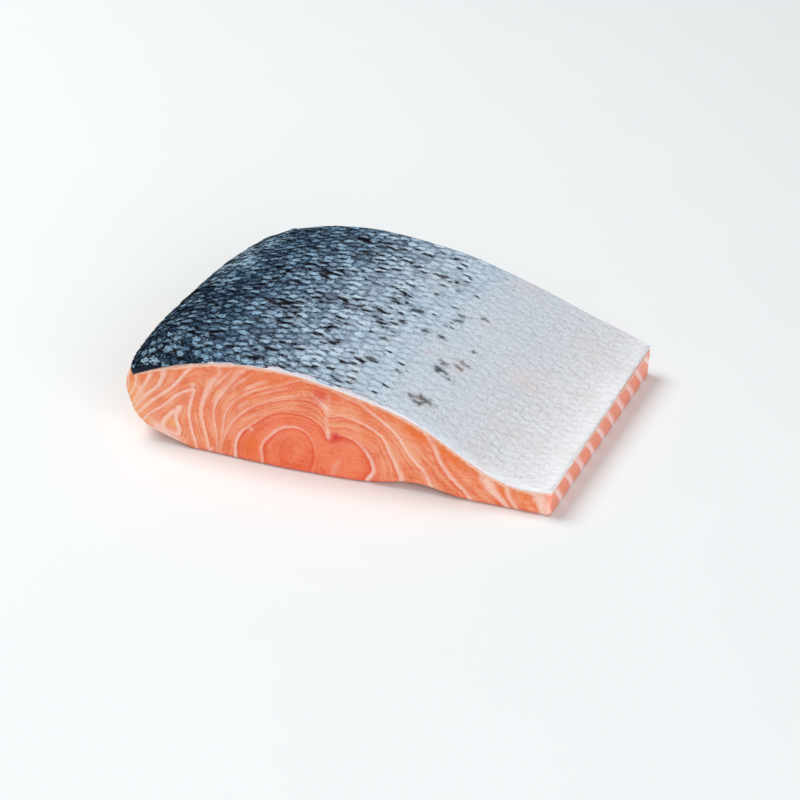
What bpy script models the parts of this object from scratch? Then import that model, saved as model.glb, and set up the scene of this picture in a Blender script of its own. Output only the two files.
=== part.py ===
"""Raw salmon fillet: a portion cut across one side of a salmon, lying with its skin up.

X runs across the fish from its back (-X) to its belly (+X), Y runs along it from the tail cut (-Y)
to the head cut (+Y), and Z is up. The origin is under the middle of the portion, on the surface
that it lies on. The flesh is one solid, and the skin is a thin solid that covers its top and laps
down over the back.
"""

import bmesh
import bpy
import numpy as np

MM = 0.001

# Driving dimensions, in millimetres
LENGTH = 107.0            # between the tail cut and the head cut, along the fish
SKIN_THICKNESS = 1.2      # skin with its scales
PIECE_GAP = 0.3           # kept between the skin and the flesh
FOOT_SPREAD = 2.4         # how far the soft cut faces bulge out at their foot
FOOT_HEIGHT = 11.0        # height below which a cut face bulges
FOOT_MIDDLE = -18.0       # where across the fish that bulge is fullest
FOOT_REACH = 34.0         # how far it reaches to either side
TAIL_SHOULDER = 6.5       # length over which the back sags towards the tail cut
HEAD_SHOULDER = 36.0      # length over which it sags towards the head cut
BACK_BULGE = 0.4          # share of the bulge below the skin that is left away from the tail cut
BULGE_FADE = 9.0          # length over which that bulge sinks to this share
ARCH_HEIGHT = 2.4         # lift of the thin belly wall off the surface at the tail cut
ARCH_MIDDLE = 30.0        # middle of that lifted stretch
ARCH_REACH = 21.0         # half its width
ARCH_FADE = 45.0          # length over which it dies out away from the tail cut
BELLY_LEAN = 0.6          # how far the foot of the belly edge stands in from its top
SIDE_SHIFT = 0.55         # moves the cross-sections sideways, so that the origin is under the middle

# Outline of the skin in three cross-sections, from the belly edge to the skin's edge on the back:
# distance across the fish and height, in millimetres
TAIL_CROWN = ((75.5, 9.9), (65.0, 9.2), (51.5, 13.4), (38.0, 21.2), (23.5, 27.7), (6.5, 31.9),
              (-10.5, 35.1), (-27.5, 35.7), (-42.5, 33.8), (-56.5, 30.4), (-65.5, 27.2), (-72.3, 24.5))
MIDDLE_CROWN = ((76.0, 10.4), (65.5, 12.2), (52.0, 17.0), (38.5, 23.4), (24.0, 29.4), (6.5, 34.2),
                (-10.5, 37.2), (-27.5, 38.7), (-43.5, 39.0), (-58.0, 38.0), (-69.5, 35.4),
                (-76.4, 30.4), (-78.6, 23.0))
HEAD_CROWN = ((76.4, 11.0), (66.5, 14.8), (52.5, 19.7), (39.3, 24.9), (24.5, 30.0), (6.5, 35.2),
              (-10.5, 37.8), (-26.5, 39.0), (-41.5, 37.8), (-55.5, 34.6), (-65.5, 30.6),
              (-72.5, 25.6), (-75.0, 20.5))

# Side of the back below the skin: height as a fraction of the skin edge's, and how far it stands
# out from that edge, in millimetres
BACK_SIDE = ((1.0, 0.0), (0.93, 2.6), (0.82, 3.3), (0.6, 2.0), (0.4, 0.1), (0.24, -3.9))
UNDERSIDE_START = ((0.15, -9.0), (0.08, -14.5), (0.0, -21.5))

# Mesh resolution
ACROSS = 40
ALONG = 22
UP = 8
STATION_GRADING = 0.6     # how much closer the cross-sections stand near the two cuts

FLESH_COLOUR = (0.83, 0.19, 0.085, 1.0)
SKIN_COLOUR = (0.24, 0.31, 0.37, 1.0)


def smooth_curve(points, count):
    """Return count points, evenly spaced by chord length, on a natural cubic spline."""
    points = np.asarray(points, float)
    steps = np.linalg.norm(np.diff(points, axis=0), axis=1)
    knots = np.concatenate(([0.0], np.cumsum(steps)))
    size = len(points)
    system = np.eye(size)
    right_side = np.zeros((size, points.shape[1]))
    for i in range(1, size - 1):
        before, after = steps[i - 1], steps[i]
        system[i, i - 1:i + 2] = before, 2.0 * (before + after), after
        slopes = (points[i + 1] - points[i]) / after - (points[i] - points[i - 1]) / before
        right_side[i] = 6.0 * slopes
    bends = np.linalg.solve(system, right_side)
    at = np.linspace(0.0, knots[-1], count)
    k = np.clip(np.searchsorted(knots, at, side="right") - 1, 0, size - 2)
    step = steps[k][:, None]
    left = (knots[k + 1] - at)[:, None]
    right = (at - knots[k])[:, None]
    return ((bends[k] * left ** 3 + bends[k + 1] * right ** 3) / (6.0 * step)
            + (points[k] / step - bends[k] * step / 6.0) * left
            + (points[k + 1] / step - bends[k + 1] * step / 6.0) * right)


def fade(value):
    """Ease from 0 to 1 as value goes from 0 to 1."""
    value = np.clip(value, 0.0, 1.0)
    return value * value * (3.0 - 2.0 * value)


def crown(along, count):
    """Return the skin's outline at the fraction along the fish, from belly to back."""
    tail, middle, head = (smooth_curve(points, count)
                          for points in (TAIL_CROWN, MIDDLE_CROWN, HEAD_CROWN))
    swell = middle - 0.5 * (tail + head)
    gentle = 4.0 * along * (1.0 - along)
    sagging = (1.0 - np.exp(-along * LENGTH / TAIL_SHOULDER)
               - np.exp((along - 1.0) * LENGTH / HEAD_SHOULDER))
    back_share = fade((np.linspace(0.0, 1.0, count) - 0.55) / 0.3)[:, None]
    rise = gentle + (sagging - gentle) * back_share
    return tail + (head - tail) * along + swell * rise


def inset(outline, depth):
    """Move an outline that runs from belly to back inwards by depth, square to itself."""
    run = np.gradient(outline, axis=0)
    run /= np.linalg.norm(run, axis=1)[:, None]
    inward = np.column_stack((-run[:, 1], run[:, 0]))
    return outline + inward * depth


def arch(across, along):
    """Return how far the underside is lifted off the surface under the belly wall."""
    offset = (across - ARCH_MIDDLE) / ARCH_REACH
    lift = ARCH_HEIGHT * fade(1.0 - np.abs(offset))
    return lift * np.exp(-(along * LENGTH / ARCH_FADE) ** 2)


def flesh_section(along):
    """Return the section's grid of (x, z), indexed [across][up], from belly to back."""
    top = inset(crown(along, ACROSS + 1), SKIN_THICKNESS + PIECE_GAP)
    top[0, 0] = crown(along, 2)[0, 0]
    corner = top[-1]
    bulge = BACK_BULGE + (1.0 - BACK_BULGE) * np.exp(-along * LENGTH / BULGE_FADE)
    side = [(corner[0] - out * (bulge if out > 0.0 else 1.0), corner[1] * share)
            for share, out in BACK_SIDE]
    start = [(corner[0] - out, corner[1] * share) for share, out in UNDERSIDE_START]
    back = smooth_curve(side, UP + 1)[::-1]
    belly_foot = top[0, 0] - BELLY_LEAN
    flat = [(x, 0.0) for x in np.linspace(start[-1][0], belly_foot, 6)[1:]]
    underside = smooth_curve([side[-1]] + start + flat, ACROSS + 1)[::-1]
    underside[:, 1] = np.where(underside[:, 0] > start[-1][0], 0.0, np.maximum(underside[:, 1], 0.0))
    underside[:, 1] += arch(underside[:, 0], along)
    belly = np.linspace(underside[0], top[0], UP + 1)
    u = np.linspace(0.0, 1.0, ACROSS + 1)[:, None, None]
    v = np.linspace(0.0, 1.0, UP + 1)[None, :, None]
    ruled_up = underside[:, None] * (1.0 - v) + top[:, None] * v
    ruled_across = belly[None] * (1.0 - u) + back[None] * u
    corners = ((belly[0] * (1.0 - u) + back[0] * u) * (1.0 - v)
               + (belly[-1] * (1.0 - u) + back[-1] * u) * v)
    return ruled_up + ruled_across - corners


def stations():
    """Return the cross-sections' places along the fish, as fractions, closer together at the cuts."""
    even = np.linspace(0.0, 1.0, ALONG + 1)
    return even - STATION_GRADING * np.sin(2.0 * np.pi * even) / (2.0 * np.pi)


def place(section, along):
    """Return (x, y, z) in metres for a section's (x, z), with the cut faces bulging at their foot."""
    x, z = section[..., 0], section[..., 1]
    side = 2.0 * along - 1.0
    low = np.clip(1.0 - z / FOOT_HEIGHT, 0.0, 1.0) ** 2
    spread = FOOT_SPREAD * low * np.exp(-((x - FOOT_MIDDLE) / FOOT_REACH) ** 2)
    y = 0.5 * LENGTH * side + spread * side ** 5
    return np.stack((x + SIDE_SHIFT, y, z), axis=-1) * MM


def box_mesh(name, grid, colour, roughness):
    """Make a closed mesh object from a grid of points indexed [across][up][along]."""
    sizes = grid.shape[:3]
    mesh = bmesh.new()
    corners = {}
    for index in np.ndindex(sizes):
        if any(i in (0, last - 1) for i, last in zip(index, sizes)):
            corners[index] = mesh.verts.new(grid[index])
    for axis in range(3):
        first, second = (other for other in range(3) if other != axis)
        for end in (0, sizes[axis] - 1):
            for i, j in np.ndindex(sizes[first] - 1, sizes[second] - 1):
                loop = []
                for di, dj in ((0, 0), (1, 0), (1, 1), (0, 1)):
                    index = [end] * 3
                    index[first] = i + di
                    index[second] = j + dj
                    loop.append(corners[tuple(index)])
                mesh.faces.new(loop)
    bmesh.ops.recalc_face_normals(mesh, faces=mesh.faces[:])
    data = bpy.data.meshes.new(name)
    mesh.to_mesh(data)
    mesh.free()
    data.shade_smooth()
    data.set_sharp_from_angle(angle=np.radians(40.0))
    data.materials.append(surface(name, colour, roughness))
    piece = bpy.data.objects.new(name, data)
    bpy.context.scene.collection.objects.link(piece)
    return piece


def surface(name, colour, roughness):
    """Make a plain material for one piece."""
    material = bpy.data.materials.new(name)
    material.use_nodes = True
    shader = material.node_tree.nodes["Principled BSDF"]
    shader.inputs["Base Color"].default_value = colour
    shader.inputs["Roughness"].default_value = roughness
    shader.inputs["Metallic"].default_value = 0.0
    material.diffuse_color = colour
    return material


def make_flesh():
    """Make the flesh: everything under the skin, down to the flat underside."""
    sections = [place(flesh_section(along), along) for along in stations()]
    return box_mesh("flesh", np.stack(sections, axis=2), FLESH_COLOUR, 0.3)


def make_skin():
    """Make the skin: a shell of even thickness over the crown of the fillet."""
    sections = []
    for along in stations():
        outer = crown(along, ACROSS + 1)
        inner = inset(outer, SKIN_THICKNESS)
        inner[0, 0] = outer[0, 0]
        sections.append(place(np.stack((inner, outer), axis=1), along))
    return box_mesh("skin", np.stack(sections, axis=2), SKIN_COLOUR, 0.35)


for old in list(bpy.data.objects):
    bpy.data.objects.remove(old, do_unlink=True)
make_flesh()
make_skin()
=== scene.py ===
# %% [markdown]
# # A raw salmon fillet, skin up
# A portion is cut straight across one side of a salmon. What shows is wet orange muscle with pale
# fat lines at the cuts, and over it the scaly skin, blue-black on the back and silver on the belly.
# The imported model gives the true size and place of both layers. This lesson builds the fine surface
# over it: the muscle with its fat lines, the skin, and every single scale.

import math

import bpy
import numpy as np
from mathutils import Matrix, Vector


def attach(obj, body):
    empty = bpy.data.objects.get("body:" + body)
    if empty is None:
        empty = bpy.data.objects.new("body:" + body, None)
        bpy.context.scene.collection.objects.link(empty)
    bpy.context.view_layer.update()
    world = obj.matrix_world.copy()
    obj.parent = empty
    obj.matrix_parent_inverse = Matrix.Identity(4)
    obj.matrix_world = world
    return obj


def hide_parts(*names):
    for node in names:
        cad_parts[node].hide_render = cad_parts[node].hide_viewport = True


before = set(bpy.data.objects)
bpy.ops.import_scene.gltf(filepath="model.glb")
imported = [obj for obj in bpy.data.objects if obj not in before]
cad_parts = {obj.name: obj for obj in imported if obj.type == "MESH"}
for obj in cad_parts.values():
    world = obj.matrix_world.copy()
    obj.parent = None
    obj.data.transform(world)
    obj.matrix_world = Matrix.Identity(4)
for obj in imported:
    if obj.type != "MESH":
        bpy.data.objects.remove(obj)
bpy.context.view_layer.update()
MM = 0.001

# %% [markdown]
# ## The camera
# A fillet is best shown from the tail cut's side, from well above the table and through a long lens,
# which keeps the portion's edges nearly parallel. The camera's place follows from the point that it
# aims at, two angles and a distance.

# %% Camera
CAMERA_AZIMUTH = math.radians(21.3006)
CAMERA_ELEVATION = math.radians(28.077)
CAMERA_DISTANCE = 0.93257
CAMERA_TARGET = Vector((0.0022, 0.0032, 0.0))
LENS = 121.5
SENSOR = 36.0


def new_object(name, data):
    """Make an object and put it in the scene."""
    made = bpy.data.objects.new(name, data)
    bpy.context.scene.collection.objects.link(made)
    return made


def aim(thing, target, offset):
    """Put a camera or a light at an offset from its target, facing it."""
    thing.location = target + offset
    thing.rotation_mode = "QUATERNION"
    thing.rotation_quaternion = offset.to_track_quat("Z", "Y")


def make_camera():
    """Make the scene's camera."""
    camera = new_object("camera", bpy.data.cameras.new("camera"))
    camera.data.lens = LENS
    camera.data.sensor_width = SENSOR
    camera.data.clip_start = 0.05
    camera.data.clip_end = 20.0
    level = math.cos(CAMERA_ELEVATION)
    direction = Vector((math.sin(CAMERA_AZIMUTH) * level, -math.cos(CAMERA_AZIMUTH) * level,
                        math.sin(CAMERA_ELEVATION)))
    aim(camera, CAMERA_TARGET, direction * CAMERA_DISTANCE)
    bpy.context.scene.camera = camera
    return camera


print("camera at", [round(x, 4) for x in make_camera().location])

# %% [markdown]
# ## Sums of shader nodes
# Every finish here is worked out by shader nodes. They could be added and linked one by one, but a
# finish with a hundred nodes is hard to read that way. So one small class stands for whatever a node
# gives, and knows how to add, multiply, ease and mix, and each finish reads like a few formulas.

# %% Values that nodes work out
def feed(socket, value):
    """Link a value into a socket, or set the socket to a constant."""
    if isinstance(value, Value):
        value.tree.links.new(value.socket, socket)
    else:
        socket.default_value = value


def put(tree, kind, sockets=(), output=0, **settings):
    """Add a node, feed its sockets, and return the value at one of its outputs."""
    made = tree.nodes.new("ShaderNode" + kind)
    for name, value in settings.items():
        setattr(made, name, value)
    for name, value in dict(sockets).items():
        feed(made.inputs[name], value)
    return Value(made.outputs[output])


class Value:
    """A number, a place or a colour that a node gives."""

    def __init__(self, socket):
        self.socket = socket
        self.tree = socket.id_data

    def maths(self, operation, *others):
        """Return the result of one sum that starts with this number."""
        return put(self.tree, "Math", dict(enumerate((self, *others))), operation=operation)

    def __add__(self, other):
        return self.maths("ADD", other)

    def __sub__(self, other):
        return self.maths("SUBTRACT", other)

    def __mul__(self, other):
        return self.maths("MULTIPLY", other)

    def __abs__(self):
        return self.maths("ABSOLUTE")

    def fraction(self):
        """Return what is left after the whole part of a number."""
        return self.maths("FRACT")

    def larger(self, other):
        """Return the larger one of two numbers."""
        return self.maths("MAXIMUM", other)

    def ease(self, low, high):
        """Return 0 below low, 1 above high, and a smooth step between them."""
        return put(self.tree, "MapRange", {0: self, 1: low, 2: high}, interpolation_type="SMOOTHSTEP")

    def spread(self, low, high):
        """Stretch a value from 0 to 1 so that it runs from low to high."""
        return put(self.tree, "MapRange", {0: self, 3: low, 4: high})

    def mix(self, first, second):
        """Return the first colour with this share of the second one mixed in."""
        return put(self.tree, "Mix", {0: self, 6: first, 7: second}, 2, data_type="RGBA")

    def noise(self, size, detail=2.0, rough=0.5):
        """Return a cloudy pattern at this place, whose features are about size millimetres wide."""
        sockets = {"Vector": self, "Scale": 1.0 / size, "Detail": detail, "Roughness": rough}
        return put(self.tree, "TexNoise", sockets)

    def scaled(self, x, y, z):
        """Return this place with each of its axes multiplied."""
        return put(self.tree, "VectorMath", {0: self, 1: (x, y, z)}, operation="MULTIPLY")

    def parts(self):
        """Return the three numbers of a place."""
        first = put(self.tree, "SeparateXYZ", {0: self})
        return [Value(socket) for socket in first.socket.node.outputs]

    def ramp(self, places, colours):
        """Return the colour at this value, between colours that stand at places from 0 to 1."""
        made = put(self.tree, "ValToRGB", {0: self})
        stops = made.socket.node.color_ramp.elements
        stops[1].position = places[-1]
        stops[1].color = colours[-1]
        stops[0].color = colours[0]
        for place, colour in zip(places[1:-1], colours[1:-1]):
            stops.new(place).color = colour
        return made


print("values ready")

# %% Materials and node groups
def paint(*screen):
    """Return the colour that a screen shows for three values from 0 to 255."""
    shares = [value / 255.0 for value in screen]
    return (*(x / 12.92 if x <= 0.04045 else ((x + 0.055) / 1.055) ** 2.4 for x in shares), 1.0)


def new_material(name):
    """Return a material, its tree and the inputs of its main shader."""
    material = bpy.data.materials.new(name)
    material.use_nodes = True
    return material, material.node_tree, material.node_tree.nodes["Principled BSDF"].inputs


def finish(sockets, looks):
    """Feed the main shader's inputs."""
    for name, value in looks.items():
        feed(sockets[name], value)


def stored(tree, name, output="Vector"):
    """Return what a piece keeps under this name on its points."""
    return put(tree, "Attribute", output=output, attribute_name=name)


def in_millimetres(tree):
    """Return the place on the piece, in millimetres."""
    return put(tree, "TexCoord", output="Object").scaled(1.0 / MM, 1.0 / MM, 1.0 / MM)


def new_group(name, **inputs):
    """Make a node group with named inputs, and return it with the values that they give."""
    group = bpy.data.node_groups.new(name, "ShaderNodeTree")
    for socket, kind in inputs.items():
        group.interface.new_socket(name=socket, in_out="INPUT", socket_type="NodeSocket" + kind)
    given = group.nodes.new("NodeGroupInput").outputs
    return group, [Value(given[socket]) for socket in inputs]


def give(group, **outputs):
    """Give a node group its named outputs, and return it."""
    kinds = {"RGBA": "Color", "VALUE": "Float", "VECTOR": "Vector"}
    for socket, value in outputs.items():
        kind = kinds[value.socket.type]
        group.interface.new_socket(name=socket, in_out="OUTPUT", socket_type="NodeSocket" + kind)
    finish(group.nodes.new("NodeGroupOutput").inputs, outputs)
    return group


def use(group, **sockets):
    """Place a node group beside the value for its Place, and return its named outputs."""
    made = sockets["Place"].tree.nodes.new("ShaderNodeGroup")
    made.node_tree = group
    finish(made.inputs, sockets)
    return {socket.name: Value(socket) for socket in made.outputs}


print("pure white is", paint(255, 255, 255))

# %% [markdown]
# ## Floor and light
# A wide matt floor, nearly white, stands in for a studio table. The light is a big soft panel up on
# the fish's back side, so that shadows fall softly past the belly, with a weaker panel in front that
# keeps the cut face bright, and white surroundings that fill the rest.

# %% Floor
FLOOR_SIZE = 12.0
FLOOR_GAP = 0.0002


def make_floor():
    """Make the pale floor just under the fillet."""
    material, tree, shader = new_material("studio floor")
    shade = in_millimetres(tree).noise(90.0).mix(paint(245, 250, 252), paint(249, 253, 255))
    finish(shader, {"Base Color": shade, "Roughness": 0.7})
    half = FLOOR_SIZE / 2.0
    corners = [(x, y, -FLOOR_GAP) for x, y in ((-half, -half), (half, -half), (half, half), (-half, half))]
    data = bpy.data.meshes.new("studio_floor")
    data.from_pydata(corners, [], [(0, 1, 2, 3)])
    data.materials.append(material)
    return new_object("studio_floor", data)


make_floor()
print("floor", FLOOR_SIZE, "m wide")

# %% Lights
PANELS = (                # name, place, width, power in watts, colour
    ("key_panel", (-0.8, 0.1, 1.25), 0.9, 15.0, (1.0, 0.99, 0.97)),
    ("front_panel", (1.1, -1.2, 0.55), 1.2, 18.3, (1.0, 1.0, 1.0)),
)
SKY_STRENGTH = 0.3


def make_panel(name, place, size, power, colour):
    """Make a soft square light that faces the fillet."""
    panel = new_object(name, bpy.data.lights.new(name, "AREA"))
    panel.data.size = size
    panel.data.energy = power
    panel.data.color = colour
    aim(panel, Vector(), Vector(place))


def make_sky():
    """Surround the scene with even white light."""
    world = bpy.data.worlds.new("studio")
    world.use_nodes = True
    sky = world.node_tree.nodes["Background"]
    sky.inputs["Color"].default_value = (0.97, 0.985, 1.0, 1.0)
    sky.inputs["Strength"].default_value = SKY_STRENGTH
    bpy.context.scene.world = world


for panel in PANELS:
    make_panel(*panel)
make_sky()
bpy.context.scene.view_settings.view_transform = "Standard"
print(len(PANELS), "soft panels and a white sky")

# %% [markdown]
# ## The fillet's form
# The portion's cross-section changes from the tail cut to the head cut, so three outlines of the
# skin are drawn by a few points each, and everything between is blended. A natural cubic spline
# gives the soft line of flesh. X runs from the back to the belly, Y from tail to head, and Z is up.

# %% Smooth curves
def smooth_curve(points, count):
    """Return count points, evenly spaced by chord length, on a natural cubic spline."""
    points = np.asarray(points, float)
    steps = np.linalg.norm(np.diff(points, axis=0), axis=1)
    knots = np.append(0.0, np.cumsum(steps))
    slopes = np.diff(points, axis=0) / steps[:, None]
    system = np.eye(len(points))
    right_side = np.zeros_like(points)
    for i in range(1, len(points) - 1):
        system[i, i - 1:i + 2] = steps[i - 1], 2.0 * (steps[i - 1] + steps[i]), steps[i]
        right_side[i] = 6.0 * (slopes[i] - slopes[i - 1])
    bends = np.linalg.solve(system, right_side)
    at = np.linspace(0.0, knots[-1], count)
    k = np.clip(np.searchsorted(knots, at, side="right") - 1, 0, len(points) - 2)
    step, left, right = (run[:, None] for run in (steps[k], knots[k + 1] - at, at - knots[k]))
    return ((bends[k] * left ** 3 + bends[k + 1] * right ** 3) / (6.0 * step)
            + (points[k] / step - bends[k] * step / 6.0) * left
            + (points[k + 1] / step - bends[k + 1] * step / 6.0) * right)


def fade(value):
    """Ease from 0 to 1 as value goes from 0 to 1."""
    value = np.clip(value, 0.0, 1.0)
    return value * value * (3.0 - 2.0 * value)


print("halfway, a fade is at", fade(0.5))

# %% The skin's outline along the fish
LENGTH = 107.0            # between the tail cut and the head cut, in millimetres
TAIL_SHOULDER = 6.5       # length over which the back sags towards the tail cut
HEAD_SHOULDER = 36.0      # length over which it sags towards the head cut
BACK_START = (0.55, 0.3)  # the back starts at this share of the outline, and blends in over this one
SIDE_SHIFT = 0.55         # puts the origin under the middle
CROWNS = (                # (x, z) at the tail cut, in the middle and at the head cut, from the belly
    ((75.5, 9.9), (65, 9.2), (51.5, 13.4), (38, 21.2), (23.5, 27.7), (6.5, 31.9), (-10.5, 35.1),
     (-27.5, 35.7), (-42.5, 33.8), (-56.5, 30.4), (-65.5, 27.2), (-72.3, 24.5)),
    ((76, 10.4), (65.5, 12.2), (52, 17), (38.5, 23.4), (24, 29.4), (6.5, 34.2), (-10.5, 37.2),
     (-27.5, 38.7), (-43.5, 39), (-58, 38), (-69.5, 35.4), (-76.4, 30.4), (-78.6, 23)),
    ((76.4, 11), (66.5, 14.8), (52.5, 19.7), (39.3, 24.9), (24.5, 30), (6.5, 35.2), (-10.5, 37.8),
     (-26.5, 39), (-41.5, 37.8), (-55.5, 34.6), (-65.5, 30.6), (-72.5, 25.6), (-75, 20.5)),
)


def crown(along, count):
    """Return the skin's outline at the fraction along the fish, from belly to back."""
    tail, middle, head = (smooth_curve(points, count) for points in CROWNS)
    gentle = 4.0 * along * (1.0 - along)
    sagging = (1.0 - np.exp(-along * LENGTH / TAIL_SHOULDER)
               - np.exp((along - 1.0) * LENGTH / HEAD_SHOULDER))
    start, blend = BACK_START
    back_share = fade((np.linspace(0.0, 1.0, count) - start) / blend)[:, None]
    rise = gentle + (sagging - gentle) * back_share
    return tail + (head - tail) * along + (middle - 0.5 * (tail + head)) * rise


def inset(outline, depth):
    """Move an outline that runs from belly to back inwards by depth, square to itself."""
    run = np.gradient(outline, axis=0)
    run /= np.linalg.norm(run, axis=1)[:, None]
    return outline + np.column_stack((-run[:, 1], run[:, 0])) * depth


print("crown height at the middle:", round(float(crown(0.5, 60)[:, 1].max()), 1), "mm")

# %% The flesh's cross-section
FOOT_SPREAD = 2.4         # how far the soft cut faces bulge out at their foot
FOOT_HEIGHT = 11.0        # height below which a cut face bulges
FOOT_MIDDLE = -18.0       # where across the fish that bulge is fullest
FOOT_REACH = 34.0         # how far it reaches to either side
BACK_BULGE = 0.4          # share of the bulge below the skin that is left away from the tail cut
BULGE_FADE = 9.0          # length over which that bulge sinks to this share
ARCH_HEIGHT = 2.4         # lift of the thin belly wall off the surface at the tail cut
ARCH_MIDDLE = 30.0
ARCH_REACH = 21.0
ARCH_FADE = 45.0
BELLY_LEAN = 0.6          # how far the foot of the belly edge stands in from its top
FLESH_DEPTH = 1.15        # the flesh starts this far under the top of the scales
BACK_SIDE = ((1.0, 0.0), (0.93, 2.6), (0.82, 3.3), (0.6, 2.0), (0.4, 0.1), (0.24, -3.9))
UNDERSIDE_START = ((0.15, -9.0), (0.08, -14.5), (0.0, -21.5))


def flesh_section(along, across_steps, up_steps):
    """Return the section's grid of (x, z), indexed [across][up], from belly to back."""
    top = inset(crown(along, across_steps + 1), FLESH_DEPTH)
    top[0, 0] = crown(along, 2)[0, 0]
    corner = top[-1]
    bulge = BACK_BULGE + (1.0 - BACK_BULGE) * np.exp(-along * LENGTH / BULGE_FADE)
    side = [(corner[0] - out * (bulge if out > 0.0 else 1.0), corner[1] * share)
            for share, out in BACK_SIDE]
    start = [(corner[0] - out, corner[1] * share) for share, out in UNDERSIDE_START]
    back = smooth_curve(side, up_steps + 1)[::-1]
    flat = [(x, 0.0) for x in np.linspace(start[-1][0], top[0, 0] - BELLY_LEAN, 6)[1:]]
    underside = smooth_curve([side[-1]] + start + flat, across_steps + 1)[::-1]
    underside[:, 1] = np.where(underside[:, 0] > start[-1][0], 0.0, np.maximum(underside[:, 1], 0.0))
    lift = ARCH_HEIGHT * fade(1.0 - np.abs(underside[:, 0] - ARCH_MIDDLE) / ARCH_REACH)
    underside[:, 1] += lift * np.exp(-(along * LENGTH / ARCH_FADE) ** 2)
    belly = np.linspace(underside[0], top[0], up_steps + 1)
    u = np.linspace(0.0, 1.0, across_steps + 1)[:, None, None]
    v = np.linspace(0.0, 1.0, up_steps + 1)[None, :, None]
    ruled_up = underside[:, None] * (1.0 - v) + top[:, None] * v
    ruled_across = belly[None] * (1.0 - u) + back[None] * u
    corners = ((belly[0] * (1.0 - u) + back[0] * u) * (1.0 - v)
               + (belly[-1] * (1.0 - u) + back[-1] * u) * v)
    return ruled_up + ruled_across - corners


def placed(section, along):
    """Return (x, y, z) in millimetres for a section's (x, z), with the cut faces bulging at their foot."""
    x, z = section[..., 0], section[..., 1]
    side = 2.0 * along - 1.0
    low = np.clip(1.0 - z / FOOT_HEIGHT, 0.0, 1.0) ** 2
    bulge = FOOT_SPREAD * low * np.exp(-((x - FOOT_MIDDLE) / FOOT_REACH) ** 2)
    return np.stack((x + SIDE_SHIFT, 0.5 * LENGTH * side + bulge * side ** 5, z), axis=-1)


print("flesh section at the tail cut:", np.round(np.ptp(flesh_section(0.0, 60, 8), axis=(0, 1)), 1), "mm")

# %% [markdown]
# ## Uneven surfaces
# Soft tissue is nowhere quite flat. A smooth random field, made of blended random values on a
# lattice, gives such slow waves. It is seeded, so it comes out the same each time.

# %% A smooth random field
LATTICE = 64


def waves(points, size, seed):
    """Return a smooth random value from -1 to 1 at each point, with waves about size long."""
    values = np.random.default_rng(seed).uniform(-1.0, 1.0, LATTICE ** 3)
    at = np.asarray(points, float) / size + LATTICE / 2
    cell = np.floor(at).astype(int)
    share = fade(at - cell)
    total = np.zeros(len(at))
    for corner in np.ndindex(2, 2, 2):
        weight = np.where(corner, share, 1.0 - share).prod(axis=1)
        index = (cell + corner) % LATTICE @ (LATTICE ** 2, LATTICE, 1)
        total += weight * values[index]
    return total


def uneven(points, layers, seed):
    """Return a sum of random waves, whose lengths and heights are given in millimetres."""
    return sum(height * waves(points, size, seed + k) for k, (size, height) in enumerate(layers))


print("random field of", LATTICE ** 3, "values")

# %% [markdown]
# ## The fat lines
# Salmon muscle is built of thin flakes, nested like cones along the fish, with a sheet of pale fat
# between one flake and the next. A cut shows those sheets as lines. They could be painted on each
# face, but then the lines of two faces wouldn't meet at the edge. So all the sheets are one smooth
# field in space: the flakes are numbered, the field counts from flake to flake, and a fat sheet lies
# wherever it passes a whole number. The lines that the tail cut shows are drawn by a few points each.

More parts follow.
